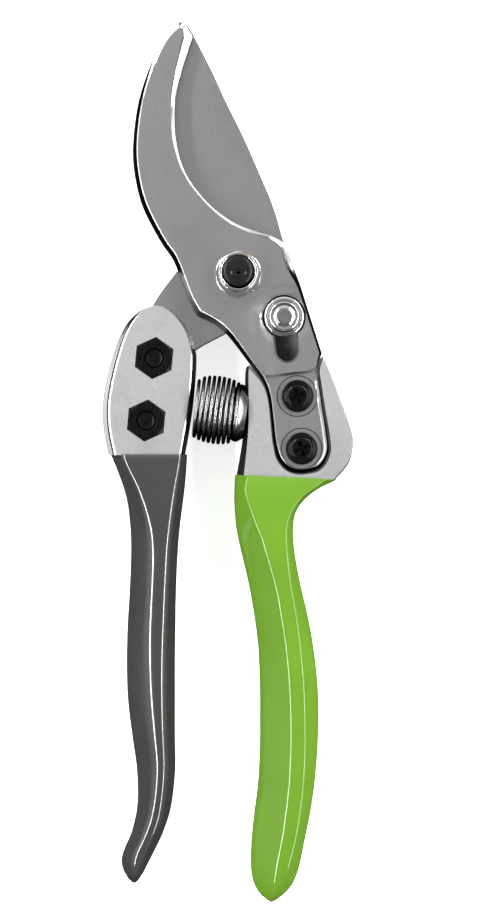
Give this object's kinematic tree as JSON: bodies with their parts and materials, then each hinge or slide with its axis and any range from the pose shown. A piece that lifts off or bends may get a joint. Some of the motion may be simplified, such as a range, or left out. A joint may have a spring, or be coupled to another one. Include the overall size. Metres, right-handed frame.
{
  "type": "bypass pruner",
  "caption": "Hand pruner with a forged hook and a bypass blade on a pivot, cast handle heads in dipped vinyl grips, a barrel opening spring and a sliding lock.",
  "frame": {"origin": "on the pivot axis, at the flat underside of the pivot bolt's head, which is the plane the tool lies on", "axes": "+Z along the pivot axis towards the face with the lock button, +Y towards the blade tips, +X towards the handle that carries the hook"},
  "size_m": [0.0605, 0.2122, 0.0164],
  "materials": {
    "hook_steel": "fine satin, forged steel with bright ground edges",
    "blade_steel": "satin ground steel",
    "cast_aluminium": "die cast, fine blasted",
    "green_vinyl": "glossy dipped vinyl",
    "gray_vinyl": "glossy dipped vinyl",
    "black_screw": "black oxide",
    "black_bolt": "black oxide",
    "black_nut": "black oxide",
    "black_plastic": "moulded, satin",
    "chrome": "polished plating",
    "zinc_washer": "zinc plated",
    "bronze_bush": "oiled sintered bronze",
    "spring_steel": "bright nickel-plated wire"
  },
  "bodies": {
    "hook_side": {"hook_blade": "hook_steel", "green_handle_core": "cast_aluminium", "green_grip": "green_vinyl", "hook_screw_upper": "black_screw", "hook_screw_lower": "black_screw", "hook_nut_upper": "black_nut", "hook_nut_lower": "black_nut", "pivot_bolt": "black_bolt", "pivot_bush": "bronze_bush", "pivot_washer_rear": "zinc_washer", "pivot_washer_front": "chrome", "pivot_ring_nut": "chrome", "spring": "spring_steel"},
    "blade_side": {"cutting_blade": "blade_steel", "gray_handle_core": "cast_aluminium", "gray_grip": "gray_vinyl", "blade_bolt_upper": "black_bolt", "blade_bolt_lower": "black_bolt", "blade_washer_upper": "zinc_washer", "blade_washer_lower": "zinc_washer", "blade_nut_upper": "black_nut", "blade_nut_lower": "black_nut"},
    "lock": {"lock_button": "chrome", "lock_washer": "chrome", "lock_pin": "chrome", "lock_circlip": "zinc_washer", "lock_slide_plate": "black_plastic"}
  },
  "joints": [
    {"name": "blade_pivot", "type": "hinge", "parent": "hook_side", "child": "blade_side", "pos_m": [0, 0, 0.0075], "axis": [0, 0, -1], "range_deg": [0, 24], "stiffness_Nm_per_rad": 1, "springref_deg": 40.11, "deforming": ["spring"]},
    {"name": "lock_slide", "type": "slide", "parent": "hook_side", "child": "lock", "axis": [0.092, -0.9958, 0], "range_m": [0, 0.0078]}
  ]
}
